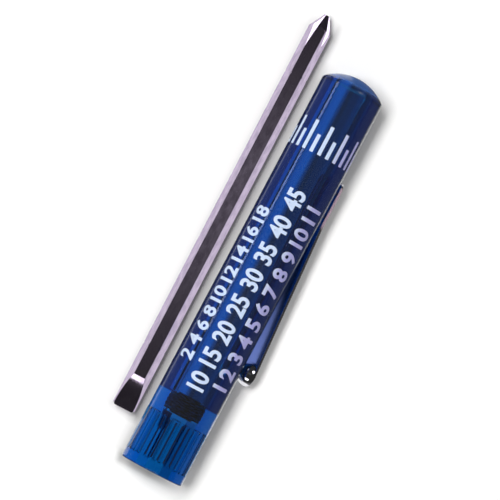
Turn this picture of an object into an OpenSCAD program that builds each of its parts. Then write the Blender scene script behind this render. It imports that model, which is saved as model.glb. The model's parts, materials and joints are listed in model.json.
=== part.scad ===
// Pocket screwdriver with a reversible blade, a see-through handle and a sprung pocket clip.
// The origin is the centre of the nose face. +Y runs along the handle to the domed end,
// +X is the clip's side and +Z is up. The handle lies on a surface with the blade beside it.

/* [Handle] */
// Outside diameter of the handle barrel
barrel_d = 16; // [15:0.1:20]
// Length of the barrel from the nose face to the crease under the dome
barrel_len = 102.6; // [96:0.1:130]
// Diameter of the round bore that stores the blade
storage_d = 7.2; // [6.8:0.1:8.4]
// Length of the solid nose, from the nose face to the floor of the storage bore
nose_len = 19.5; // [17:0.1:24]
// Rounding of the edge round the nose face
nose_round = 0.5; // [0.2:0.1:1]
// Height of the dome over the crease
dome_rise = 3.1; // [1.5:0.1:5]
// Length of the end cap's spigot in the bore
spigot_len = 1.6; // [1:0.1:4]

/* [Grip] */
// Number of narrow grooves round the nose
groove_count = 30; // [12:1:32]
// Width of a groove
groove_w = 0.5; // [0.3:0.05:0.8]
// Depth of a groove
groove_depth = 0.3; // [0.1:0.05:0.6]
// Distance of a groove's near end from the nose face
groove_start = 2.4; // [1.5:0.1:4]
// Length of a groove
groove_len = 11.1; // [6:0.1:12]

/* [Blade] */
// Size of the hexagonal blade across its flats
blade_af = 5; // [4.6:0.02:5.2]
// Length of the blade from tip to tip
blade_len = 106.4; // [90:0.1:110]
// Thickness of the slotted tip at its end
slot_tip_t = 1.1; // [0.6:0.05:1.4]
// Length of the ground faces of the slotted tip
slot_grind_len = 8.7; // [6:0.1:12]
// Rounding of the slotted tip's two corners
slot_corner_round = 0.45; // [0.1:0.05:0.8]
// Width of the blunt end of the cross tip
cross_tip_d = 1.4; // [1:0.1:2.2]
// Angle between the cross tip's cone and its axis
cross_cone_angle = 29; // [22:1:32]
// Length of the four flutes of the cross tip
flute_len = 9.2; // [7:0.1:12]
// Turn of the cross about the blade's axis, from the hexagon's upper flat
cross_turn = 16; // [0:1:45]
// Distance of a flute's root from the axis at the tip
flute_root_r = 0.55; // [0.4:0.05:0.8]
// Distance of the detent ring from each tip
detent_from_tip = 16.4; // [14:0.1:20]
// Width of the detent ring
detent_w = 0.6; // [0.3:0.05:1]
// Depth of the detent ring below the blade's corners
detent_depth = 0.1; // [0.05:0.05:0.3]

/* [Grip ring in the nose] */
// Length of the black grip ring
retainer_len = 4.4; // [3:0.1:5]
// Outside diameter of the grip ring over its ribs
retainer_d = 6.8; // [6.5:0.1:7]
// Diameter of the hole through the grip ring
retainer_hole_d = 5.55; // [5.4:0.05:5.7]
// Number of ribs round the grip ring
retainer_ribs = 3; // [2:1:5]
// Depth of the grooves between the ribs
retainer_rib_depth = 0.3; // [0.1:0.05:0.4]

/* [Clip] */
// Width of the clip's strip
clip_w = 6.2; // [5:0.1:7.5]
// Thickness of the clip's strip
clip_t = 0.7; // [0.5:0.05:0.9]
// Distance of the clip's top end from the nose face
clip_top = 82; // [75:0.5:90]
// Length of the pad that sits on the barrel
clip_pad_len = 11.9; // [9:0.1:14]
// Rounding of the pad's top corners
clip_corner_round = 2; // [1:0.1:2.4]
// Angle at which the arm leans away from the barrel
clip_lean = 4.05; // [3:0.05:5]
// Distance of the ball's centre from the nose face
clip_ball_y = 31.3; // [25:0.1:40]
// Wall of the hollow ball
clip_ball_wall = 0.5; // [0.3:0.05:0.8]
// Distance from the clip's top end to the upper prong
prong_first = 2.9; // [2.4:0.1:3.5]
// Distance between the two prongs
prong_pitch = 6.2; // [4:0.1:7]
// Width of a prong
prong_w = 3; // [2:0.1:4]
// Thickness of a prong
prong_t = 0.5; // [0.3:0.05:0.7]
// Depth of a prong in the barrel's wall
prong_depth = 2.2; // [1.5:0.1:2.6]

/* [Layout] */
// Distance of the blade's axis from the handle's axis at the slotted tip
blade_side = 13; // [12.2:0.1:20]
// Distance of the slotted tip past the nose face
blade_shift = 9.9; // [0:0.1:20]
// Angle between the blade and the handle
blade_skew = 0.43; // [0:0.01:3]

/* [Hidden] */
$fn = 64;
hex_sides = 6;
// Running and seating clearances
socket_clear = 0.1; // each side of the blade in the hex socket
cap_clear = 0.05; // round the spigot in the bore
retainer_clear = 0.05; // round the grip ring in its pocket
prong_clear = 0.05; // round each prong in its slot
clip_seat_gap = 0.05; // under the pad and under the ball
flex_gap = 0.1; // between the pad and the arm
overrun = 0.5; // how far a cut runs past a face

barrel_r = barrel_d / 2;
hex_ac_share = 2 / sqrt(3); // corner size of a hexagon over its flat size
blade_ac_r = blade_af / 2 * hex_ac_share;
socket_r = (blade_af / 2 + socket_clear) * hex_ac_share;
socket_lead = 0.5; // lead-in chamfer at the socket's mouth
arc_step = 15; // degrees between the points of a rounded outline

dome_r = (barrel_r * barrel_r + dome_rise * dome_rise) / (2 * dome_rise);
spigot_r = storage_d / 2 - cap_clear;

pocket_r = retainer_d / 2 + retainer_clear;
pocket_y = nose_len - retainer_len - retainer_clear;

grind_flat = 0.5; // where the ground face runs level, behind the slotted tip
grind_rise = (blade_af - slot_tip_t) / 2;
grind_run = slot_grind_len - grind_flat;
grind_r = (grind_run * grind_run + grind_rise * grind_rise) / (2 * grind_rise);
slot_tip_w = blade_ac_r * 2 - slot_tip_t / sqrt(3);
flute_angle = atan((blade_ac_r - flute_root_r) / flute_len);
flute_side = 4 * blade_af; // side of the square cutter that makes the flutes
cone_len = (blade_ac_r - cross_tip_d / 2) / tan(cross_cone_angle);

strip_in = barrel_r + clip_seat_gap; // inner face of the pad, from the handle's axis
strip_mid = strip_in + clip_t / 2;
arm_top = clip_top - clip_pad_len; // where the strip starts to flex
ball_run = (arm_top - clip_ball_y) / cos(clip_lean);
ball_out = strip_mid + ball_run * sin(clip_lean); // ball's centre, from the handle's axis
ball_r = ball_out - barrel_r - clip_seat_gap;
// The strip's lower edge at the ball rests on the surface that the barrel lies on
clip_reach = ball_out + clip_t / 2;
clip_edge = norm([clip_reach, clip_w / 2]);
clip_roll = asin(barrel_r / clip_edge) - atan2(clip_w / 2, clip_reach);

// Turns a shape that stands on +Z so that it lies along +Y
module along_y() rotate([-90, 0, 0]) children();

// Turns the clip's side, drawn towards +X, down onto the surface
module on_clip_side() rotate([0, clip_roll, 0]) children();

module groove() {
    near = groove_start + groove_w / 2;
    far = groove_start + groove_len - groove_w / 2;
    translate([0, 0, barrel_r - groove_depth])
        linear_extrude(groove_depth + overrun)
            union() {
                translate([-groove_w / 2, near]) square([groove_w, far - near]);
                for (end = [near, far]) translate([0, end]) circle(d = groove_w);
            }
}

module prong_slot(clear) {
    thick = prong_t + 2 * clear;
    wide = prong_w + 2 * clear;
    depth = prong_depth + clear;
    for (i = [0, 1])
        translate([barrel_r - depth, clip_top - prong_first - i * prong_pitch - thick / 2, -wide / 2])
            cube([depth + overrun, thick, wide]);
}

module barrel_outline() {
    inner = barrel_r - nose_round;
    polygon(concat(
        [[0, 0]],
        [for (a = [0:arc_step:90]) [inner + nose_round * sin(a), nose_round * (1 - cos(a))]],
        [[barrel_r, barrel_len], [0, barrel_len]]));
}

module barrel() color([0.03, 0.29, 0.65, 0.6]) {
    difference() {
        along_y() rotate_extrude() barrel_outline();
        translate([0, nose_len, 0]) along_y() cylinder(h = barrel_len, d = storage_d);
        translate([0, pocket_y, 0]) along_y() cylinder(h = nose_len - pocket_y + overrun, r = pocket_r);
        translate([0, -overrun, 0]) along_y() cylinder(h = nose_len, r = socket_r, $fn = hex_sides);
        along_y() cylinder(h = 2 * socket_lead, r1 = socket_r + socket_lead, r2 = socket_r - socket_lead);
        for (i = [0:groove_count - 1]) rotate([0, i * 360 / groove_count, 0]) groove();
        on_clip_side() prong_slot(prong_clear);
    }
}

module end_cap() color([0.03, 0.29, 0.65, 0.6])
    translate([0, barrel_len, 0]) along_y()
        union() {
            intersection() {
                translate([0, 0, dome_rise - dome_r]) sphere(r = dome_r);
                cylinder(h = 2 * dome_rise, r = 2 * barrel_r);
            }
            translate([0, 0, -spigot_len]) cylinder(h = spigot_len + dome_rise / 2, r = spigot_r);
        }

module blade_retainer() color([0.05, 0.05, 0.06])
    translate([0, nose_len - retainer_len, 0]) along_y()
        difference() {
            cylinder(h = retainer_len, d = retainer_d);
            translate([0, 0, -overrun]) cylinder(h = retainer_len + 2 * overrun, d = retainer_hole_d);
            gap_pitch = retainer_len / retainer_ribs;
            for (i = [1:retainer_ribs - 1])
                translate([0, 0, i * gap_pitch - gap_pitch / 4])
                    difference() {
                        cylinder(h = gap_pitch / 2, r = retainer_d / 2 + overrun);
                        translate([0, 0, -overrun])
                            cylinder(h = gap_pitch / 2 + 2 * overrun, r = retainer_d / 2 - retainer_rib_depth);
                    }
        }

// The pad, drawn as the strip's outline seen from outside and given its thickness
module clip_base() color([0.75, 0.76, 0.8])
    on_clip_side() {
        corner_y = clip_top - clip_corner_round;
        corner_z = clip_w / 2 - clip_corner_round;
        union() {
            translate([strip_in, 0, 0]) rotate([90, 0, 90])
                linear_extrude(clip_t)
                    union() {
                        translate([arm_top + flex_gap, -clip_w / 2])
                            square([corner_y - arm_top - flex_gap, clip_w]);
                        translate([arm_top + flex_gap, -corner_z])
                            square([clip_top - arm_top - flex_gap, 2 * corner_z]);
                        for (side = [-1, 1])
                            translate([corner_y, side * corner_z]) circle(r = clip_corner_round);
                    }
            for (i = [0, 1])
                translate([barrel_r - prong_depth, clip_top - prong_first - i * prong_pitch - prong_t / 2,
                           -prong_w / 2])
                    cube([prong_depth + clip_seat_gap + clip_t / 2, prong_t, prong_w]);
        }
    }

// The arm, drawn along -Y from the flex line and then leaned outwards
module clip_arm() color([0.75, 0.76, 0.8])
    on_clip_side()
        translate([strip_mid, arm_top, 0]) rotate([0, 0, clip_lean])
            difference() {
                union() {
                    translate([-clip_t / 2, 0, 0]) rotate([90, 0, 90])
                        linear_extrude(clip_t)
                            union() {
                                translate([-ball_run, -clip_w / 2]) square([ball_run, clip_w]);
                                translate([-ball_run, 0]) circle(d = clip_w);
                            }
                    intersection() {
                        translate([0, -ball_run, 0]) sphere(r = ball_r);
                        translate([-2 * ball_r, -ball_run - 2 * ball_r, -2 * ball_r])
                            cube([2 * ball_r, 4 * ball_r, 4 * ball_r]);
                    }
                }
                translate([0, -ball_run, 0]) sphere(r = ball_r - clip_ball_wall);
            }

module slot_grind() {
    translate([-blade_af, grind_flat, slot_tip_t / 2 + grind_r]) rotate([0, 90, 0])
        cylinder(h = 2 * blade_af, r = grind_r);
    translate([-blade_af, -overrun, slot_tip_t / 2])
        cube([2 * blade_af, grind_flat + overrun, blade_af]);
}

// The slotted tip seen from above: what lies outside its rounded corners
module slot_corner() {
    half = slot_tip_w / 2;
    translate([half - slot_corner_round, -overrun, -blade_af])
        difference() {
            cube([slot_corner_round + overrun, slot_corner_round + overrun, 2 * blade_af]);
            translate([0, slot_corner_round + overrun, -overrun])
                cylinder(h = 2 * (blade_af + overrun), r = slot_corner_round);
        }
}

// A square cutter standing on its edge, whose edge follows the root of one flute
module flute() {
    translate([flute_root_r, 0, 0]) rotate([0, flute_angle, 0])
        rotate([0, 0, -45]) translate([0, 0, -2 * flute_len])
            cube([flute_side, flute_side, 4 * flute_len]);
}

module detent_ring() {
    difference() {
        cylinder(h = detent_w, r = 2 * blade_ac_r);
        translate([0, 0, -overrun]) cylinder(h = detent_w + 2 * overrun, r = blade_ac_r - detent_depth);
    }
}

module blade() color([0.62, 0.62, 0.66])
    translate([-blade_side, blade_shift, blade_af / 2 - barrel_r]) rotate([0, 0, blade_skew])
        difference() {
            along_y() cylinder(h = blade_len, r = blade_ac_r, $fn = hex_sides);
            for (face = [0, 180]) rotate([0, face, 0]) slot_grind();
            for (side = [0, 1]) mirror([side, 0, 0]) slot_corner();
            for (y = [detent_from_tip, blade_len - detent_from_tip])
                translate([0, y - detent_w / 2, 0]) along_y() detent_ring();
            translate([0, blade_len, 0]) rotate([90, 0, 0]) {
                for (i = [0:3]) rotate([0, 0, 45 + 90 * i - cross_turn]) flute();
                translate([0, 0, -overrun])
                    difference() {
                        cylinder(h = cone_len + overrun, r = 2 * blade_ac_r);
                        cylinder(h = cone_len + overrun, r1 = cross_tip_d / 2 - overrun * tan(cross_cone_angle),
                                 r2 = blade_ac_r);
                    }
            }
        }

barrel();
end_cap();
blade_retainer();
clip_base();
clip_arm();
blade();
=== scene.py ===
# A pocket screwdriver: a see-through blue handle with a sprung clip, and its blade lying beside it.
# Everything is in metres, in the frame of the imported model: +Y along the handle, +X to the clip, +Z up.
import json
import math
import bmesh
import bpy
from mathutils import Matrix, Vector


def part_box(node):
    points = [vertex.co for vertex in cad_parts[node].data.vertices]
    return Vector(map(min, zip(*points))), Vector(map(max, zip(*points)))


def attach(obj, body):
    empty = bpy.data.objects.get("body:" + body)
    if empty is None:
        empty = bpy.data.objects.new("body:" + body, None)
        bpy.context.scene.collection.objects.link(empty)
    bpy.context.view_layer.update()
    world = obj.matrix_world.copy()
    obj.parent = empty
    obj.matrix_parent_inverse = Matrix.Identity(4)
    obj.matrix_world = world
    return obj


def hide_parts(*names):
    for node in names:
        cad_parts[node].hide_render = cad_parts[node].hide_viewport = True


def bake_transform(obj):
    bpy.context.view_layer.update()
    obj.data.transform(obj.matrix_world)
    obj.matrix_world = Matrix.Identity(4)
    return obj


MM = 0.001
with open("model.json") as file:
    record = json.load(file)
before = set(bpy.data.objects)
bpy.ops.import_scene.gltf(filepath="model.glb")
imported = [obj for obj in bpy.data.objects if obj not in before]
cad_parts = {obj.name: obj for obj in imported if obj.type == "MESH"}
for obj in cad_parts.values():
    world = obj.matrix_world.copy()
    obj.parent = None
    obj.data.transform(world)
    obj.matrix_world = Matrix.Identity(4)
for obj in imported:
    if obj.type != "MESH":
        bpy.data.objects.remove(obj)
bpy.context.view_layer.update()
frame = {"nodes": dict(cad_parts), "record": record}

# Sizes read from the frame
BARREL_LOW, BARREL_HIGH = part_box("barrel")
CAP_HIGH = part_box("end_cap")[1]
RING_LOW, RING_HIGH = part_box("blade_retainer")
BLADE_LOW, BLADE_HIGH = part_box("blade")
PAD_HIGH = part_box("clip_base")[1]
JOINTS = {joint["name"]: joint for joint in frame["record"]["behaviour"]["joints"]}
MOUNTS = {mount["name"]: mount for mount in frame["record"]["mounts"]}
BARREL_R = BARREL_HIGH.x
BARREL_LEN = BARREL_HIGH.y
FLOOR_Z = BARREL_LOW.z
BLADE_AF = BLADE_HIGH.z - BLADE_LOW.z
TIP = Vector(MOUNTS["slotted_tip"]["pos_m"])
BLADE_SLOPE = JOINTS["blade_slide"]["axis"][0] / JOINTS["blade_slide"]["axis"][1]
FLEX_X, ARM_TOP, FLEX_Z = JOINTS["clip_flex"]["pos_m"]
STRIP_MID = math.hypot(FLEX_X, FLEX_Z)
CLIP_ROLL = math.atan2(-FLEX_Z, FLEX_X)

# The photograph's view: a long lens over the handle, rolled, and leaned a little towards the nose
PHOTO_ROLL = math.radians(27.9)
PHOTO_LEAN = math.radians(2.5)
CAMERA_DISTANCE = 805 * MM
FRAME_WIDTH = 119.25 * MM
VIEW_CENTRE = Vector((-3.82 * MM, 57.46 * MM, 0))
SENSOR_MM = 36
CAMERA_NEAR = 10 * MM
CAMERA_FAR = 100


def make_camera():
    look = Vector((0, math.sin(PHOTO_LEAN), -math.cos(PHOTO_LEAN)))
    side = Vector((1, 0, 0))
    top = side.cross(look)
    turn_c, turn_s = math.cos(PHOTO_ROLL), math.sin(PHOTO_ROLL)
    right = side * turn_c + top * turn_s
    up = top * turn_c - side * turn_s
    data = bpy.data.cameras.new("camera")
    data.sensor_width = SENSOR_MM
    data.lens = SENSOR_MM * CAMERA_DISTANCE / FRAME_WIDTH
    data.clip_start = CAMERA_NEAR
    data.clip_end = CAMERA_FAR
    camera = bpy.data.objects.new("camera", data)
    bpy.context.scene.collection.objects.link(camera)
    axes = Matrix((right, up, -look)).transposed().to_4x4()
    camera.matrix_world = Matrix.Translation(VIEW_CENTRE - look * CAMERA_DISTANCE) @ axes
    bpy.context.scene.camera = camera


make_camera()


# Node helpers
class Graph:
    """Adds nodes to a tree and links them by socket name."""

    def __init__(self, tree):
        self.tree = tree

    def add(self, kind, settings=None, **inputs):
        node = self.tree.nodes.new(kind)
        for key, value in (settings or {}).items():
            setattr(node, key, value)
        for key, value in inputs.items():
            self.feed(node, key.replace("_", " "), value)
        return node

    def feed(self, node, socket, value):
        target = node.inputs[int(socket)] if socket.isdigit() else node.inputs[socket]
        if isinstance(value, bpy.types.NodeSocket):
            self.tree.links.new(value, target)
        else:
            target.default_value = value

    def math(self, operation, a, b=0.0):
        node = self.add("ShaderNodeMath", {"operation": operation})
        self.feed(node, "0", a)
        self.feed(node, "1", b)
        return node.outputs[0]

    def product(self, first, *others):
        for other in others:
            first = self.math("MULTIPLY", first, other)
        return first

    def step(self, value, start, end, first=0.0, last=1.0):
        """One value up to the start, another from the end, and straight between them."""
        node = self.add("ShaderNodeMapRange", Value=value)
        self.feed(node, "From Min", start)
        self.feed(node, "From Max", end)
        self.feed(node, "To Min", first)
        self.feed(node, "To Max", last)
        return node.outputs[0]

    def place(self):
        """X, Y and Z in the object's own space."""
        coordinates = self.add("ShaderNodeTexCoord").outputs["Object"]
        return self.add("ShaderNodeSeparateXYZ", Vector=coordinates).outputs

    def glow(self, colour):
        return self.add("ShaderNodeEmission", Color=colour, Strength=1.0).outputs[0]

    def background(self, colour):
        return self.add("ShaderNodeBackground", Color=colour, Strength=1.0).outputs[0]

    def mix_shaders(self, share, first, second):
        node = self.add("ShaderNodeMixShader")
        self.feed(node, "0", share)
        self.feed(node, "1", first)
        self.feed(node, "2", second)
        return node.outputs[0]

    def add_shaders(self, first, second):
        node = self.add("ShaderNodeAddShader")
        self.feed(node, "0", first)
        self.feed(node, "1", second)
        return node.outputs[0]

    def paint(self, share, surface, colour, rough):
        """Lays plain paint over a share of a surface."""
        coat = self.add("ShaderNodeBsdfPrincipled", Base_Color=colour, Roughness=rough)
        return self.mix_shaders(share, surface, coat.outputs[0])

    def ramp(self, factor, stops):
        node = self.add("ShaderNodeValToRGB")
        self.feed(node, "Fac", factor)
        elements = node.color_ramp.elements
        while len(elements) < len(stops):
            elements.new(0.5)
        for element, (place, colour) in zip(elements, stops):
            element.position = place
            element.color = colour
        return node.outputs["Color"]

    def noise(self, scale, stretch=(1, 1, 1), detail=3.0):
        """Noise in the object's own space, whose scale is in features per metre along each axis."""
        place = self.add("ShaderNodeTexCoord").outputs["Object"]
        mapping = self.add("ShaderNodeMapping", Vector=place)
        mapping.inputs["Scale"].default_value = stretch
        texture = self.add("ShaderNodeTexNoise", Vector=mapping.outputs["Vector"], Scale=scale, Detail=detail)
        return texture.outputs["Fac"]

    def bump(self, height, distance):
        node = self.add("ShaderNodeBump", Height=height, Distance=distance, Strength=1.0)
        return node.outputs["Normal"]

    def output(self, surface, volume=None):
        node = self.add("ShaderNodeOutputMaterial", Surface=surface)
        if volume is not None:
            self.feed(node, "Volume", volume)


def new_material(name):
    material = bpy.data.materials.new(name)
    material.use_nodes = True
    material.node_tree.nodes.clear()
    return material, Graph(material.node_tree)


def grey(value):
    return (value, value, value, 1)


# The handle's plastic. A pair gives the two places along Y between which a look comes in or fades out
PLASTIC_IOR = 1.49
PLASTIC_DENSITY = 600.0
FROSTED = (0.02 * MM, 0.25 * MM)
FROST = 0.6
HAZE = (12 * MM, 15 * MM)
HAZE_CLEAR = 0.988
DOMED = (102.9 * MM, 103.6 * MM)
DOME_HAZE = 0.5
# Painted shade in the grooves: from where to where along the grooves, from their rims inwards, and bluer away
# from the middle
GROOVED = (3 * MM, 13 * MM)
GROOVE_RADII = (7.985 * MM, 7.88 * MM)
SHADE_BLUER_ACROSS = (4 * MM, 5.5 * MM)
GROOVE_SHADE_SHARE = 0.95
SOCKET_RADIUS = 5.5 * MM
SOCKET_COAT_END = 14.8 * MM
SOCKET_DULL = 0.25


def clear_blue(g, y):
    """The plastic's polished skin, which lets a little less light through beyond the nose."""
    glass = g.add("ShaderNodeBsdfPrincipled", Base_Color=(0.9, 0.96, 1.0, 1), IOR=PLASTIC_IOR)
    g.feed(glass, "Roughness", g.ramp(g.noise(900.0), [(0.35, grey(0.012)), (0.75, grey(0.045))]))
    g.feed(glass, "Normal", g.bump(g.noise(260.0, (1, 0.15, 1)), 0.02 * MM))
    g.feed(glass, "Transmission Weight", g.step(y, *HAZE, 1.0, HAZE_CLEAR))
    return glass.outputs[0]


def blue_plastic():
    """Clear blue, hazy on the dome, with painted shade in the grooves, a light blue coat in the socket and a
    frosted nose face.
    """
    material, g = new_material("blue_plastic")
    x, y, z = g.place()
    out = g.math("SQRT", g.math("ADD", g.product(x, x), g.product(z, z)))
    above = g.math("GREATER_THAN", z, 0.0)
    grooved = g.product(g.math("GREATER_THAN", y, GROOVED[0]), g.math("LESS_THAN", y, GROOVED[1]))
    in_groove = g.product(g.step(out, *GROOVE_RADII), g.math("GREATER_THAN", out, SOCKET_RADIUS))
    in_socket = g.product(g.math("LESS_THAN", out, SOCKET_RADIUS), g.math("LESS_THAN", y, SOCKET_COAT_END))
    from_middle = g.step(g.math("ABSOLUTE", x), *SHADE_BLUER_ACROSS)
    # painted shade for the grooves: darkest in the middle, bluer towards the sides
    groove_shade = g.ramp(from_middle, [(0.0, (0.003, 0.012, 0.045, 1)), (1.0, (0.002, 0.09, 0.38, 1))])
    skin = clear_blue(g, y)
    skin = g.paint(g.product(g.step(y, *DOMED), DOME_HAZE), skin, (0.04, 0.19, 0.68, 1), 0.3)
    # painted shade laid over the grooves' upper half
    skin = g.paint(g.product(grooved, above, in_groove, GROOVE_SHADE_SHARE), skin, groove_shade, 0.6)
    # a light blue coat on the socket's upper half
    skin = g.paint(g.product(in_socket, above, SOCKET_DULL), skin, (0.06, 0.45, 1.0, 1), 0.6)
    skin = g.paint(g.step(y, *FROSTED, FROST, 0.0), skin, (0.03, 0.09, 0.24, 1), 0.5)
    depth = g.add("ShaderNodeVolumeAbsorption", Color=(0.08, 0.72, 0.91, 1), Density=PLASTIC_DENSITY)
    g.output(skin, depth.outputs[0])
    return material


# The clip's plating: a painted pinkish reflection along the pad and towards its edges, and duller up the arm
PAD_PINK_SPAN = (69.5 * MM, 71 * MM)
EDGE_PINK_SPAN = (2.85 * MM, 3.0 * MM)
ARM_DULL = (33 * MM, 36 * MM)
ARM_ROUGH = (0.05, 0.2)


def clip_chrome():
    """Bright plating, with a painted pinkish reflection on the edges of the pad at the strip's upper end."""
    material, g = new_material("clip_chrome")
    smudge = g.noise(1400.0)
    x, along, z = g.place()
    smudged = g.ramp(smudge, [(0.3, grey(0.0)), (0.8, grey(0.08))])
    rough = g.math("ADD", smudged, g.step(along, *ARM_DULL, *ARM_ROUGH))
    tint = g.ramp(smudge, [(0.3, (0.80, 0.80, 0.84, 1)), (0.8, (0.70, 0.70, 0.75, 1))])
    shader = g.add("ShaderNodeBsdfPrincipled", Base_Color=tint, Metallic=1.0, Roughness=rough)
    g.feed(shader, "Normal", g.bump(g.noise(500.0, (1, 0.2, 1)), 0.004 * MM))
    # painted pinkish reflection on the edges of the pad
    pink_reflection = g.add("ShaderNodeBsdfPrincipled", Base_Color=(0.62, 0.46, 0.55, 1), Metallic=0.2, Roughness=0.4)
    sideways = g.math("ADD", g.product(x, math.sin(CLIP_ROLL)), g.product(z, math.cos(CLIP_ROLL)))
    share = g.product(g.step(g.math("ABSOLUTE", sideways), *EDGE_PINK_SPAN), g.step(along, *PAD_PINK_SPAN))
    g.output(g.mix_shaders(share, shader.outputs[0], pink_reflection.outputs[0]))
    return material


def blade_steel():
    """Drawn and plated bar, with faint lavender patches."""
    material, g = new_material("blade_steel")
    drawn = g.noise(6000.0, (1, 0.02, 1))
    patches = g.noise(700.0, (1, 0.5, 1), 5.0)
    tint = g.ramp(patches, [(0.38, (0.57, 0.48, 0.64, 1)), (0.62, (0.47, 0.39, 0.535, 1))])
    rough = g.ramp(patches, [(0.3, grey(0.09)), (0.75, grey(0.15))])
    shader = g.add("ShaderNodeBsdfPrincipled", Base_Color=tint, Metallic=1.0, Roughness=rough)
    g.feed(shader, "Normal", g.bump(drawn, 0.003 * MM))
    g.output(shader.outputs[0])
    return material


# Painted bluish light on the rubber: most on the blade's side of the ring, and what that adds to its noise
BLUISH_SIDE = (-4.5 * MM, 0.5 * MM)
BLUISH_ADDED = (0.16, -0.04)


def black_rubber():
    material, g = new_material("black_rubber")
    x = g.place()["X"]
    # painted bluish light: mottled, and stronger on the blade's side of the ring
    bluish_light = g.math("ADD", g.noise(900.0, (1, 3, 1), 5.0), g.step(x, *BLUISH_SIDE, *BLUISH_ADDED))
    tint = g.ramp(bluish_light, [(0.4, (0.02, 0.02, 0.025, 1)), (0.7, (0.08, 0.16, 0.40, 1))])
    shader = g.add("ShaderNodeBsdfPrincipled", Base_Color=tint, Roughness=0.6)
    g.feed(shader, "Normal", g.bump(g.noise(5000.0), 0.02 * MM))
    g.output(shader.outputs[0])
    return material


INK_LAVENDER_SPAN = (3 * MM, 5 * MM)
INK_LAVENDER_SHARE = 0.7
INK_MOTTLE = 0.3
# The ink's colours, from white and mottled to lavender
INK_COLOURS = [(0.09, (0.50, 0.62, 0.84, 1)), (0.21, (0.64, 0.73, 0.90, 1)), (0.85, (0.45, 0.44, 0.78, 1))]


def white_ink():
    """White ink, turning lavender towards the clip's side."""
    material, g = new_material("white_ink")
    cover = g.noise(3000.0)
    lavender_share = g.math("ADD", g.product(cover, INK_MOTTLE), g.step(g.place()["X"], *INK_LAVENDER_SPAN, 0.0, INK_LAVENDER_SHARE))
    shader = g.add("ShaderNodeBsdfPrincipled", Base_Color=g.ramp(lavender_share, INK_COLOURS), Roughness=0.45)
    g.feed(shader, "Normal", g.bump(cover, 0.004 * MM))
    g.output(shader.outputs[0])
    return material


# Mesh helpers
SHARP_ANGLE = math.radians(28)


def add_piece(name, bm, material, sharp=SHARP_ANGLE):
    mesh = bpy.data.meshes.new(name)
    bm.to_mesh(mesh)
    bm.free()
    mesh.polygons.foreach_set("use_smooth", [True] * len(mesh.polygons))
    mesh.set_sharp_from_angle(angle=sharp)
    mesh.materials.append(material)
    piece = bpy.data.objects.new(name, mesh)
    bpy.context.scene.collection.objects.link(piece)
    return piece


def add_ring(bm, points):
    return [bm.verts.new(point) for point in points]


def join_rings(bm, first, second):
    count = len(first)
    for i in range(count):
        j = (i + 1) % count
        bm.faces.new((first[i], first[j], second[j], second[i]))


def close_ring(bm, ring, point, outwards=True):
    """Fans a ring to one point."""
    tip = bm.verts.new(point)
    count = len(ring)
    for i in range(count):
        j = (i + 1) % count
        bm.faces.new((ring[i], ring[j], tip) if outwards else (ring[j], ring[i], tip))


# The handle: barrel and end cap as one clear body
GROOVE_COUNT = 30
GROOVE_PITCH = 2 * math.pi / GROOVE_COUNT
GROOVE_W = 0.5 * MM
GROOVE_DEPTH = 0.3 * MM
GROOVE_START = 2.4 * MM
GROOVE_LEN = 11.1 * MM
NOSE_ROUND = 0.5 * MM
SOCKET_CLEAR = 0.1 * MM
SOCKET_LEAD = 0.5 * MM
BORE_R = 3.6 * MM
BORE_SHORT = 0.2 * MM  # how far under the crease the bore ends
BORE_END = BARREL_LEN - BORE_SHORT
# The ring's pocket: how far it goes past the ring towards the nose, and how far it grips into the ring
RING_GAP = 0.6 * MM
RING_GRIP = 0.32 * MM
CREASE_ROUND = 0.5 * MM
ARC_STEPS = 6
DOME_STEPS = 16
# Places across one groove's pitch, in half widths of the groove from its middle, and how deep it is there
GROOVE_SIDE = [(2.3, 0), (1.15, 0), (1, 0), (0.62, 0.9)]
GROOVE_SHARES = [(-place, depth) for place, depth in GROOVE_SIDE] + [(0, 1)] + GROOVE_SIDE[::-1]
# The groove's run-out at each end: distance from the end and share of the full depth
RUN_OUT = [(0, 0), (0.05 * MM, 0.5), (0.14 * MM, 0.85), (0.28 * MM, 1)]


def groove_stations():
    """Angles round the handle, each with the share of a groove's depth there."""
    half = GROOVE_W / 2 / BARREL_R
    stations = []
    for i in range(GROOVE_COUNT):
        start = i * GROOVE_PITCH
        stations.append((start, 0))
        stations.append((start + GROOVE_PITCH / 6, 0))
        for place, depth in GROOVE_SHARES:
            stations.append((start + GROOVE_PITCH / 2 + place * half, depth))
        stations.append((start + GROOVE_PITCH * 5 / 6, 0))
    return stations


def round_ring(bm, stations, radius, y, groove_share=0.0):
    points = []
    for angle, depth in stations:
        r = radius - GROOVE_DEPTH * depth * groove_share
        points.append((r * math.cos(angle), y, r * math.sin(angle)))
    return add_ring(bm, points)


def hex_ring(bm, stations, flat_r, y, wider=0.0):
    sixth = math.pi / 3
    points = []
    for angle, _ in stations:
        r = flat_r / math.cos(angle % sixth - sixth / 2) + wider
        points.append((r * math.cos(angle), y, r * math.sin(angle)))
    return add_ring(bm, points)


def dome_outline():
    """(radius, y) from the crease to just before the pole, with the crease rounded."""
    rise = CAP_HIGH.y - BARREL_LEN
    ball = (BARREL_R ** 2 + rise ** 2) / (2 * rise)
    centre = CAP_HIGH.y - ball
    edge = math.asin(BARREL_R / ball)
    near = edge - CREASE_ROUND / ball
    first = (BARREL_R, BARREL_LEN - CREASE_ROUND)
    last = (ball * math.sin(near), centre + ball * math.cos(near))
    points = []
    for i in range(ARC_STEPS + 1):
        t = i / ARC_STEPS
        weights = ((1 - t) ** 2, 2 * t * (1 - t), t ** 2)
        points.append(tuple(sum(w * p for w, p in zip(weights, axis))
                            for axis in zip(first, (BARREL_R, BARREL_LEN), last)))
    for i in range(1, DOME_STEPS):
        angle = near * (1 - i / DOME_STEPS)
        points.append((ball * math.sin(angle), centre + ball * math.cos(angle)))
    return points


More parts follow.
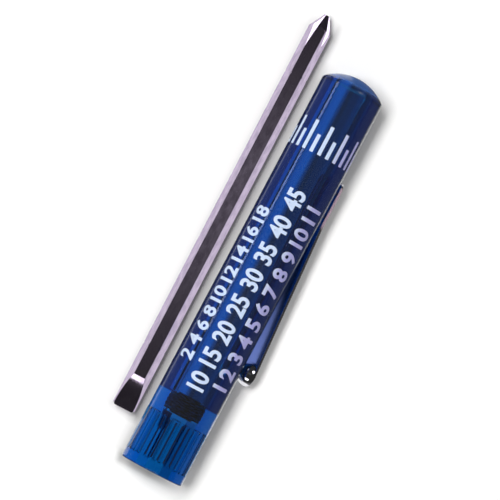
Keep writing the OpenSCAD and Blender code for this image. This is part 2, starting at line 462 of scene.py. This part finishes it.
def handle_rings(bm):
    """Every ring of the handle's skin, from the bore's end out of the nose and on to the dome."""
    stations = groove_stations()
    flat_r = BLADE_AF / 2 + SOCKET_CLEAR
    pocket_r = RING_HIGH.x - RING_GRIP
    pocket_y = RING_LOW.y - RING_GAP
    rings = [
        round_ring(bm, stations, BORE_R, BORE_END),
        round_ring(bm, stations, BORE_R, RING_HIGH.y),
        round_ring(bm, stations, pocket_r, RING_HIGH.y),
        round_ring(bm, stations, pocket_r, pocket_y),
        hex_ring(bm, stations, flat_r, pocket_y),
        hex_ring(bm, stations, flat_r, SOCKET_LEAD),
        hex_ring(bm, stations, flat_r, 0, SOCKET_LEAD),
    ]
    inset = BARREL_R - NOSE_ROUND
    for i in range(ARC_STEPS + 1):
        turn = math.pi / 2 * i / ARC_STEPS
        radius = inset + NOSE_ROUND * math.sin(turn)
        rings.append(round_ring(bm, stations, radius, NOSE_ROUND * (1 - math.cos(turn))))
    for run, share in RUN_OUT:
        rings.append(round_ring(bm, stations, BARREL_R, GROOVE_START + run, share))
    for run, share in reversed(RUN_OUT):
        rings.append(round_ring(bm, stations, BARREL_R, GROOVE_START + GROOVE_LEN - run, share))
    for radius, y in dome_outline():
        rings.append(round_ring(bm, stations, radius, y))
    return rings


# The rubber ring that grips the blade: a soft ribbed sleeve pressed into its pocket
RING_HOLE = 2.775 * MM
RING_RIBS = 5
RIB_DEPTH = 0.1 * MM
RING_SIDES = 72
RING_STEPS = 40
RING_LONGER = (0.5 * MM, 0.3 * MM)
RING_SLIMMER = 0.15 * MM
RING_WALL = 0.05 * MM
RING_ROUND = 2.1


def grip_ring(material):
    bm = bmesh.new()
    turns = [(2 * math.pi * i / RING_SIDES, 0) for i in range(RING_SIDES)]
    low, high = RING_LOW.y - RING_LONGER[0], RING_HIGH.y + RING_LONGER[1]
    thick = RING_HIGH.x - RING_SLIMMER - RIB_DEPTH - RING_HOLE
    rings = []
    for i in range(RING_STEPS + 1):
        t = i / RING_STEPS
        full = max(1 - abs(2 * t - 1) ** RING_ROUND, 0) ** (1 / RING_ROUND)
        rib = RIB_DEPTH * 0.5 * (1 - math.cos(2 * math.pi * RING_RIBS * t))
        radius = max(RING_HOLE + thick * full + rib, RING_HOLE + RING_WALL)
        rings.append(round_ring(bm, turns, radius, low + (high - low) * t))
    rings.append(round_ring(bm, turns, RING_HOLE, high))
    rings.append(round_ring(bm, turns, RING_HOLE, low))
    for first, second in zip(rings, rings[1:] + rings[:1]):
        join_rings(bm, first, second)
    bmesh.ops.recalc_face_normals(bm, faces=bm.faces)
    ring = add_piece("grip_ring", bm, material)
    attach(ring, "handle")
    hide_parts("blade_retainer")


# The clip's two prongs in the barrel's wall
PRONG_FIRST = 2.9 * MM
PRONG_PITCH = 6.2 * MM
PRONG_W = 3 * MM
PRONG_T = 0.5 * MM
PRONG_DEPTH = 2.2 * MM
PRONG_CLEAR = 0.05 * MM
SKIN = 0.04 * MM


def on_clip_side(x, y, z):
    """Turns a place drawn towards +X down onto the clip's side."""
    c, s = math.cos(CLIP_ROLL), math.sin(CLIP_ROLL)
    return (x * c + z * s, y, z * c - x * s)


def clip_box(bm, low, high, inward=False):
    """A closed box on the clip's side; inward makes it a hollow in a solid."""
    v = [bm.verts.new(on_clip_side(x, y, z))
         for x in (low[0], high[0]) for y in (low[1], high[1]) for z in (low[2], high[2])]
    faces = [(0, 1, 3, 2), (4, 6, 7, 5), (0, 4, 5, 1), (2, 3, 7, 6), (0, 2, 6, 4), (1, 5, 7, 3)]
    for face in faces:
        bm.faces.new([v[i] for i in (reversed(face) if inward else face)])


def prong_y(i):
    return PAD_HIGH.y - PRONG_FIRST - i * PRONG_PITCH


def handle_body(material):
    bm = bmesh.new()
    rings = handle_rings(bm)
    for first, second in zip(rings, rings[1:]):
        join_rings(bm, first, second)
    close_ring(bm, rings[0], (0, BORE_END, 0), outwards=False)
    close_ring(bm, rings[-1], (0, CAP_HIGH.y, 0))
    bmesh.ops.recalc_face_normals(bm, faces=bm.faces)
    half_t = PRONG_T / 2 + PRONG_CLEAR
    half_w = PRONG_W / 2 + PRONG_CLEAR
    for i in (0, 1):
        low = (BARREL_R - PRONG_DEPTH - PRONG_CLEAR, prong_y(i) - half_t, -half_w)
        high = (math.sqrt(BARREL_R ** 2 - half_w ** 2) - SKIN, prong_y(i) + half_t, half_w)
        clip_box(bm, low, high, inward=True)
    body = add_piece("handle_body", bm, material)
    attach(body, "handle")
    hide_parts("barrel", "end_cap")


# The clip: one strip of spring steel with a hollow ball pressed in its end
STRIP_W = 6.2 * MM
STRIP_T = 0.7 * MM
STRIP_EDGE = 0.14 * MM
PAD_LEN = PAD_HIGH.y - ARM_TOP
PAD_CORNER = 2 * MM
STRIP_LEAN = math.radians(4.05)
BALL_Y = 31.3 * MM
BALL_WALL = 0.5 * MM
BEND_LEN = 3 * MM
STRIP_STEP = 0.75 * MM
CORNER_STEPS = 8
EDGE_STEPS = 3
BALL_RUN = (ARM_TOP - BALL_Y) / math.cos(STRIP_LEAN)
BALL_OUT = STRIP_MID + BALL_RUN * math.sin(STRIP_LEAN)
SEAT_GAP = STRIP_MID - STRIP_T / 2 - BARREL_R
BALL_R = BALL_OUT - BARREL_R - SEAT_GAP
SEAT_IN_BALL = BALL_R - BALL_WALL / 2
BALL_SIDES = 72
BALL_STEPS = 18
CLIP_WELD = 0.001 * MM


def strip_place(run, across, off):
    """A place on the strip, by its run from the top end, across it, and outwards off its middle plane."""
    past = run - PAD_LEN
    t = min(max(past / BEND_LEN + 0.5, 0), 1)
    lean = STRIP_LEAN * t * t * (3 - 2 * t)
    if past <= -BEND_LEN / 2:
        out, down = 0, past
    elif past >= BEND_LEN / 2:
        out, down = past * math.sin(STRIP_LEAN), past * math.cos(STRIP_LEAN)
    else:
        out, down = BEND_LEN / 2 * math.sin(STRIP_LEAN) * t ** 3, past
    x = STRIP_MID + out + off * math.cos(lean)
    y = ARM_TOP - down + off * math.sin(lean)
    return on_clip_side(x, y, across)


def strip_section(half_w):
    """Places round the strip's section: across it and off its middle plane, with rounded edges."""
    half_t = STRIP_T / 2
    edge = min(STRIP_EDGE, half_t)
    points = []
    for side, up in ((1, -1), (1, 1), (-1, 1), (-1, -1)):
        for i in range(EDGE_STEPS + 1):
            turn = math.pi / 2 * i / EDGE_STEPS
            if side * up < 0:
                turn = math.pi / 2 - turn
            across = half_w - edge + edge * math.cos(turn)
            off = half_t - edge + edge * math.sin(turn)
            points.append((side * across, up * off))
    return points


def strip_half_width(run):
    if run >= PAD_CORNER:
        return STRIP_W / 2
    return STRIP_W / 2 - PAD_CORNER + math.sqrt(PAD_CORNER ** 2 - (PAD_CORNER - run) ** 2)


def strip_runs():
    runs = [PAD_CORNER * (1 - math.cos(math.pi / 2 * i / CORNER_STEPS)) for i in range(CORNER_STEPS)]
    straight = PAD_LEN + BALL_RUN - PAD_CORNER
    count = round(straight / STRIP_STEP)
    runs += [PAD_CORNER + straight * i / count for i in range(count + 1)]
    return runs


def strip_end_pull(across):
    """How far short of the ball's centre the strip stops, so that it ends inside the ball's wall."""
    return math.sqrt(max(SEAT_IN_BALL ** 2 - across ** 2, 0))


def add_strip(bm):
    rings = []
    total = PAD_LEN + BALL_RUN
    for run in strip_runs():
        ring = []
        for across, off in strip_section(strip_half_width(run)):
            stop = total - strip_end_pull(across)
            ring.append(strip_place(min(run, stop), across, off))
        rings.append(add_ring(bm, ring))
    for first, second in zip(rings, rings[1:]):
        join_rings(bm, first, second)
    bm.faces.new(rings[0])
    bm.faces.new(list(reversed(rings[-1])))
    bmesh.ops.remove_doubles(bm, verts=bm.verts, dist=CLIP_WELD)


def ball_outline():
    """(radius, height) from the bottom of the ball's outside, over its rim and into its hollow."""
    inner = BALL_R - BALL_WALL
    rim = STRIP_T / 2
    edge = STRIP_EDGE
    outside = [(BALL_R * math.sin(a), -BALL_R * math.cos(a))
               for a in (math.pi / 2 * i / BALL_STEPS for i in range(1, BALL_STEPS + 1))]
    lip = []
    for centre, start in ((BALL_R - edge, 0), (inner + edge, math.pi / 2)):
        for i in range(EDGE_STEPS + 1):
            a = start + math.pi / 2 * i / EDGE_STEPS
            lip.append((centre + edge * math.cos(a), rim - edge + edge * math.sin(a)))
    hollow = [(inner * math.sin(a), -inner * math.cos(a))
              for a in (math.pi / 2 * i / BALL_STEPS for i in range(BALL_STEPS, 0, -1))]
    return outside + lip + hollow


def ball_place(radius, angle, height):
    """A place on the ball, drawn round the strip's normal at the ball's centre."""
    run = PAD_LEN + BALL_RUN + radius * math.cos(angle)
    return strip_place(run, radius * math.sin(angle), height)


def add_ball(bm):
    rings = []
    for radius, height in ball_outline():
        turns = [2 * math.pi * i / BALL_SIDES for i in range(BALL_SIDES)]
        rings.append(add_ring(bm, [ball_place(radius, turn, height) for turn in turns]))
    for first, second in zip(rings, rings[1:]):
        join_rings(bm, first, second)
    close_ring(bm, rings[0], ball_place(0, 0, -BALL_R), outwards=False)
    close_ring(bm, rings[-1], ball_place(0, 0, -(BALL_R - BALL_WALL)))


def spring_clip(material):
    bm = bmesh.new()
    add_strip(bm)
    add_ball(bm)
    for i in (0, 1):
        low = (BARREL_R - PRONG_DEPTH, prong_y(i) - PRONG_T / 2, -PRONG_W / 2)
        high = (STRIP_MID, prong_y(i) + PRONG_T / 2, PRONG_W / 2)
        clip_box(bm, low, high)
    bmesh.ops.recalc_face_normals(bm, faces=bm.faces)
    clip = add_piece("spring_clip", bm, material)
    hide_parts("clip_base", "clip_arm")
    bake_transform(clip)


# The blade: its solid, with the worn edges that the solid leaves sharp. Faces over the flat area are shaded
# as planes, so that narrow worn edges beside them don't bend what they mirror
BLADE_EDGE = 0.3 * MM
BLADE_EDGE_STEPS = 3
BLADE_WELD = 0.002 * MM
FLAT_ANGLE = math.radians(0.4)
BEVEL_ANGLE = math.radians(24)
BLADE_SHARP = math.radians(8)
FLAT_AREA = 15 * MM ** 2


def blade_bar(material):
    source = frame["nodes"]["blade"]
    bm = bmesh.new()
    bm.from_mesh(source.data)
    bmesh.ops.remove_doubles(bm, verts=bm.verts, dist=BLADE_WELD)
    bmesh.ops.dissolve_limit(bm, angle_limit=FLAT_ANGLE, verts=bm.verts, edges=bm.edges)
    edges = [edge for edge in bm.edges if edge.calc_face_angle(0) > BEVEL_ANGLE]
    bmesh.ops.bevel(bm, geom=edges, offset=BLADE_EDGE, segments=BLADE_EDGE_STEPS, profile=0.5,
                    affect="EDGES", clamp_overlap=True)
    bar = add_piece("blade_bar", bm, material, BLADE_SHARP)
    for polygon in bar.data.polygons:
        polygon.use_smooth = polygon.area < FLAT_AREA
    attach(bar, "blade")
    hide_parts("blade")
    return bar


# Print on the barrel: rows of plain numbers, and a band of bars near the dome
INK_T = 0.03 * MM
INK_GAP = 0.004 * MM
WRAP_STEP = 0.4 * MM
ROW_PITCH = 6.1 * MM
ROW_MIDDLE = -0.15 * MM
INK_BOLD = 0.03
INK_SQUEEZE = 0.86
DIGIT_HALF = 0.5
DIGIT_CURVE_STEPS = 4
PRINT_WELD = 0.0005 * MM
# Each row: place round the barrel in row pitches, height of the digits, first and last Y, and its numbers
NUMBER_ROWS = [
    (-1, 4.2 * MM, 27.5 * MM, 68 * MM, range(2, 20, 2)),
    (0, 4.6 * MM, 22 * MM, 75 * MM, range(10, 50, 5)),
    (1, 4.9 * MM, 24.5 * MM, 73 * MM, range(1, 12)),
]
BAND_LOW = 84.5 * MM
BAND_LONG = 7.5 * MM
BAND_SHORT = 4.5 * MM
BAR_W = 0.9 * MM
BAR_PITCH = 2.1 * MM
BAR_REACH = 5  # bars on each side of the middle one
BAR_STEPS = 3


def wrapped(around, y, height):
    """A place on the barrel: how far round from the top towards +X, Y, and height off the surface."""
    angle = around / BARREL_R
    r = BARREL_R + INK_GAP + height
    return Vector((r * math.sin(angle), y, r * math.cos(angle)))


def digits_mesh(text, height):
    """Closed thin digits, lying flat with their middle line on X, starting at X = 0."""
    curve = bpy.data.curves.new("digits", "FONT")
    curve.body = text
    curve.offset = INK_BOLD
    curve.extrude = DIGIT_HALF
    curve.resolution_u = DIGIT_CURVE_STEPS
    holder = bpy.data.objects.new("digits", curve)
    bpy.context.scene.collection.objects.link(holder)
    bpy.context.view_layer.update()
    graph = bpy.context.evaluated_depsgraph_get()
    mesh = bpy.data.meshes.new_from_object(holder.evaluated_get(graph))
    bpy.data.objects.remove(holder)
    xs = [v.co.x for v in mesh.vertices]
    ys = [v.co.y for v in mesh.vertices]
    scale = height / (max(ys) - min(ys))
    middle = (max(ys) + min(ys)) / 2
    across = scale * INK_SQUEEZE
    for v in mesh.vertices:
        v.co = ((v.co.x - min(xs)) * across, (v.co.y - middle) * scale, (v.co.z + DIGIT_HALF) * INK_T)
    return mesh, (max(xs) - min(xs)) * across


def wrap_cuts(bm):
    """Cuts flat print into strips narrow enough to bend round the barrel."""
    low = min(v.co.y for v in bm.verts)
    high = max(v.co.y for v in bm.verts)
    for i in range(1, math.ceil((high - low) / WRAP_STEP)):
        geom = bm.verts[:] + bm.edges[:] + bm.faces[:]
        bmesh.ops.bisect_plane(bm, geom=geom, plane_co=(0, low + i * WRAP_STEP, 0), plane_no=(0, 1, 0))


def print_row(target, around, height, start, end, numbers):
    texts = [str(number) for number in numbers]
    meshes = [digits_mesh(text, height) for text in texts]
    spare = end - start - sum(width for _, width in meshes)
    gap = spare / (len(texts) - 1)
    y = start
    for mesh, width in meshes:
        bm = bmesh.new()
        bm.from_mesh(mesh)
        bmesh.ops.remove_doubles(bm, verts=bm.verts, dist=PRINT_WELD)
        wrap_cuts(bm)
        for v in bm.verts:
            v.co = wrapped(around - v.co.y, y + v.co.x, v.co.z)
        bm.to_mesh(mesh)
        bm.free()
        target.from_mesh(mesh)
        bpy.data.meshes.remove(mesh)
        y += width + gap


def print_bar(target, around, low, high):
    """A closed bar along the barrel, bent round it."""
    turns = [around + BAR_W * (i / BAR_STEPS - 0.5) for i in range(BAR_STEPS + 1)]
    ends = [[add_ring(target, [wrapped(turn, y, height) for turn in turns]) for height in (0, INK_T)]
            for y in (low, high)]
    join_rings(target, *[under + over[::-1] for under, over in ends])
    for under, over in ends:
        for i in range(BAR_STEPS):
            target.faces.new((under[i], under[i + 1], over[i + 1], over[i]))


def barrel_print(material):
    bm = bmesh.new()
    for place, height, start, end, numbers in NUMBER_ROWS:
        print_row(bm, ROW_MIDDLE + place * ROW_PITCH, height, start, end, numbers)
    for i in range(-BAR_REACH, BAR_REACH + 1):
        long = BAND_LONG if i % 2 == 0 else BAND_SHORT
        print_bar(bm, i * BAR_PITCH, BAND_LOW, BAND_LOW + long)
    bmesh.ops.remove_doubles(bm, verts=bm.verts, dist=PRINT_WELD)
    bmesh.ops.recalc_face_normals(bm, faces=bm.faces)
    ink = add_piece("barrel_print", bm, material)
    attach(ink, "handle")


grip_ring(black_rubber())
handle_body(blue_plastic())
spring_clip(clip_chrome())
bar = blade_bar(blade_steel())
barrel_print(white_ink())


# Stage. The tables give places in mm, each with how bright the floor is there
FLOOR_HALF = 3.0
FLOOR_SPAN = 80 * MM  # what a table can cover, half of it on each side of 0
PAPER = (0.93, 0.925, 0.915, 1)
PAPER_LIFT = 0.08
PLAIN = (1, 1, 1)

# Across the floor, for rays that come through the handle: light that its bore spreads, and light that its
# solid nose and dome gather
SOLID_NOSE = 19 * MM
DOME_LIGHT = (103.5 * MM, 106 * MM)
DOME_GLOW = 0.9
BORE_TINT = (0.4, 0.54, 1.0)
SOLID_TINT = (0.3, 1.0, 1.0)
UNDER_BORE = [(-16, 0.45), (-9, 0.55), (-8, 0.65), (-3.2, 0.65), (-2.3, 0.40), (-1.9, 0.28), (-1.2, 0.26),
              (-0.9, 0.10), (0, 0.07), (1, 0.08), (1.3, 0.16), (2, 0.12), (4, 0.13), (6, 0.18), (8, 0.18),
              (12, 0.09), (36, 0.08)]
UNDER_SOLID = [(-3, 0.9), (-1.6, 1.0), (-1.1, 1.0), (-0.7, 0.85), (0, 0.75), (0.8, 0.7), (1.5, 0.7),
               (2.6, 0.6), (3.6, 0.5)]

# Across the floor, for rays that a shiny face mirrors: pale paper near the blade, blue light beside the clip
# and a dimmer room beyond
MIRRORED = [(-36, 0.1), (-28, 0.35), (-24, 1.0), (-3, 1.0), (-2, 0.0), (9, 0.0), (10, 1.0), (14, 1.0),
            (16, 0.12)]
MIRRORED_FROM = -1 * MM
MIRRORED_TO = (125 * MM, 105 * MM)  # the paper's far end beside the blade and beside the clip
MIRRORED_STEP = (-3 * MM, -2 * MM)  # where along X the one end changes to the other
MIRRORED_BEYOND = 0.15
MIRRORED_BLUE = [(-3, 0.0), (-2, 0.6), (8, 0.6), (9, 0.0)]
BLUE_TINT = (0.28, 0.40, 1.0)
BLUE_MIDDLE = 40 * MM
BLUE_ALONG = [(-14, 0.0), (-9, 1.0), (-3, 1.0), (6, 0.6), (12, 0.1), (30, 0.05)]  # along Y from the middle
# Pale paper that the clip's ball mirrors: where along Y it begins, and where along X it begins and stops
UNDER_BALL = (31 * MM, 28 * MM)
BALL_SIDE = (3 * MM, 5 * MM)
BALL_SIDE_END = 14 * MM

# For the camera, where little light gets in: by the distance from the blade's axis, across X beside the
# barrel, and along Y before the nose, whose shade has its share across X
BESIDE_BLADE = [(-7.2, 1.0), (-5.7, 0.93), (-4.8, 0.9), (-3.8, 0.87), (-3.2, 0.8), (3.2, 0.56), (3.8, 0.47),
                (4.3, 0.6), (4.8, 0.79), (5.4, 0.93), (6.2, 1.0)]
BLADE_SHADED = ((7.5 * MM, 9.9 * MM), (117 * MM, 112 * MM))
BESIDE_BARREL = [(-11.5, 1.0), (-10.2, 0.9), (-9.5, 0.85), (-9, 0.76), (-8.5, 0.67), (-8, 0.62), (-4, 1.0)]
BARREL_SHADED = ((-1 * MM, 1 * MM), (107 * MM, 101 * MM))
BEFORE_NOSE = [(-4, 1.0), (-3, 0.95), (-2.2, 0.78), (-1.6, 0.52), (-0.95, 0.4), (0, 0.42), (1.5, 1.0)]
NOSE_SHADED = [(-9.7, 0.0), (-8, 0.85), (0, 1.0), (4, 0.6), (8, 0.1), (9, 0.0)]


def floor_ramp(g, place, table, tint=PLAIN):
    """How bright the floor is at a place, by a table of mm and brightness."""
    stops = [(mm * MM / FLOOR_SPAN + 0.5, tuple(value * part for part in tint) + (1,)) for mm, value in table]
    fraction = g.math("ADD", g.math("DIVIDE", place, FLOOR_SPAN), 0.5)
    return g.ramp(fraction, stops)


def shade(g, surface, share, tone):
    """Darkens a surface to the tone, over the given share of it."""
    lost = g.product(share, g.math("SUBTRACT", 1.0, tone))
    return g.mix_shaders(lost, surface, g.glow(grey(0)))


def between(g, value, rise, fall):
    return g.product(g.step(value, *rise), g.step(value, *fall))


def shaded_floor(g, surface, across, along, bar):
    """The floor as the camera sees it, darker close to the blade, wherever that lies, and to the barrel."""
    place = g.add("ShaderNodeTexCoord", {"object": bar}).outputs["Object"]
    bar_x, bar_y, _ = g.add("ShaderNodeSeparateXYZ", Vector=place).outputs
    axis_x = g.math("ADD", TIP.x, g.product(g.math("SUBTRACT", bar_y, TIP.y), BLADE_SLOPE))
    from_blade = g.math("SUBTRACT", bar_x, axis_x)
    surface = shade(g, surface, between(g, bar_y, *BLADE_SHADED), floor_ramp(g, from_blade, BESIDE_BLADE))
    surface = shade(g, surface, between(g, along, *BARREL_SHADED), floor_ramp(g, across, BESIDE_BARREL))
    return shade(g, surface, floor_ramp(g, across, NOSE_SHADED), floor_ramp(g, along, BEFORE_NOSE))


def light_through(g, across, along):
    """What a ray meets on the floor after it comes through the handle."""
    bore_light = g.glow(floor_ramp(g, across, UNDER_BORE, BORE_TINT))
    nose_light = g.glow(floor_ramp(g, across, UNDER_SOLID, SOLID_TINT))
    dome_light = g.glow(tuple(DOME_GLOW * part for part in SOLID_TINT) + (1,))
    light = g.mix_shaders(g.math("LESS_THAN", along, SOLID_NOSE), bore_light, nose_light)
    return g.mix_shaders(g.step(along, *DOME_LIGHT), light, dome_light)


def light_mirrored(g, across, along):
    """What a ray meets on the floor after a shiny face mirrors it."""
    far_end = g.step(across, *MIRRORED_STEP, *MIRRORED_TO)
    past_end = g.math("GREATER_THAN", along, far_end)
    outside = g.math("MAXIMUM", g.math("LESS_THAN", along, MIRRORED_FROM), past_end)
    blue = g.glow(floor_ramp(g, across, MIRRORED_BLUE, BLUE_TINT))
    beside_clip = floor_ramp(g, g.math("SUBTRACT", along, BLUE_MIDDLE), BLUE_ALONG)
    blue = g.mix_shaders(beside_clip, g.glow(grey(0)), blue)
    near = g.add_shaders(g.glow(floor_ramp(g, across, MIRRORED)), blue)
    beside = g.product(g.step(across, *BALL_SIDE), g.math("LESS_THAN", across, BALL_SIDE_END))
    near = g.mix_shaders(g.product(g.step(along, *UNDER_BALL), beside), near, g.glow(grey(1.0)))
    return g.mix_shaders(outside, near, g.glow(grey(MIRRORED_BEYOND)))


def floor_paper(bar):
    """White paper, with a look of its own for the rays that reach it by way of plastic or steel."""
    material, g = new_material("floor_paper")
    across, along, _ = g.place()
    paper = g.add("ShaderNodeBsdfDiffuse", Color=PAPER).outputs[0]
    lifted = g.add_shaders(paper, g.glow(grey(PAPER_LIFT)))
    path = g.add("ShaderNodeLightPath").outputs
    surface = g.mix_shaders(path["Is Camera Ray"], paper, shaded_floor(g, lifted, across, along, bar))
    surface = g.mix_shaders(path["Is Glossy Ray"], surface, light_mirrored(g, across, along))
    surface = g.mix_shaders(path["Is Transmission Ray"], surface, light_through(g, across, along))
    g.output(surface)
    return material


def make_floor(bar):
    mesh = bpy.data.meshes.new("floor")
    corners = [(x * FLOOR_HALF, y * FLOOR_HALF, FLOOR_Z) for x, y in ((-1, -1), (1, -1), (1, 1), (-1, 1))]
    mesh.from_pydata(corners, [], [(0, 1, 2, 3)])
    floor = bpy.data.objects.new("floor", mesh)
    bpy.context.scene.collection.objects.link(floor)
    mesh.materials.append(floor_paper(bar))


# Light. The room that shiny faces mirror: how bright its walls are from -X to +X, and a dim card overhead,
# from level on the -Y side (0) to level on the +Y side (1)
WALLS = [(0.0, 0.05), (0.5, 0.03)]
OVERHEAD = [(0.505, 0.0), (0.514, 0.07), (0.52, 0.15), (0.536, 0.2), (0.542, 0.03), (0.545, 0.0)]
OVERHEAD_UP = 0.95  # how upright a direction is where the card begins
FILL = 0.25  # the even light on plain faces


def room_ramp(g, direction, table):
    fraction = g.math("ADD", g.product(direction, 0.5), 0.5)
    return g.ramp(fraction, [(place, grey(value)) for place, value in table])


def make_world():
    """An even light for plain faces. Shiny ones mirror a dark room with a dim card overhead."""
    world = bpy.data.worlds.new("world")
    world.use_nodes = True
    world.node_tree.nodes.clear()
    g = Graph(world.node_tree)
    direction = g.add("ShaderNodeTexCoord").outputs["Generated"]
    x, y, z = g.add("ShaderNodeSeparateXYZ", Vector=direction).outputs
    walls = g.background(room_ramp(g, x, WALLS))
    card = g.background(room_ramp(g, y, OVERHEAD))
    overhead = g.math("GREATER_THAN", z, OVERHEAD_UP)
    mirrored = g.mix_shaders(overhead, walls, g.add_shaders(walls, card))
    shiny = g.add("ShaderNodeLightPath").outputs["Is Glossy Ray"]
    surface = g.mix_shaders(shiny, g.background(grey(FILL)), mirrored)
    g.add("ShaderNodeOutputWorld", Surface=surface)
    bpy.context.scene.world = world


def make_lamp(name, place, target, size, power, shiny=True, plain=True):
    """An oblong lamp: its place, what it aims at and its two sides in metres, and its power in watts."""
    data = bpy.data.lights.new(name, "AREA")
    data.shape = "RECTANGLE"
    data.size, data.size_y = size
    data.energy = power
    lamp = bpy.data.objects.new(name, data)
    bpy.context.scene.collection.objects.link(lamp)
    lamp.location = place
    aim = (Vector(target) - Vector(place)).to_track_quat("-Z", "Y")
    lamp.rotation_euler = aim.to_euler()
    lamp.visible_glossy = shiny
    lamp.visible_diffuse = plain
    lamp.visible_transmission = False


make_floor(bar)
make_world()
make_lamp("key_box", (-0.30, 0.09, 0.94), (0, BARREL_LEN / 2, 0), (0.5, 0.26), 8.2, shiny=False)
make_lamp("nose_box", (-0.05, -0.63, 0.48), (0, 0, 0), (0.60, 0.26), 1.2)
make_lamp("tip_box", (0.42, 0.51, 0.68), (-0.0135, 0.112, 0), (0.34, 0.34), 1.1, plain=False)
make_lamp("side_strip", (-0.70, 0.24, 0.40), (0, 0.24, 0), (0.36, 0.09), 0.25)

bpy.context.scene.view_settings.view_transform = "Standard"
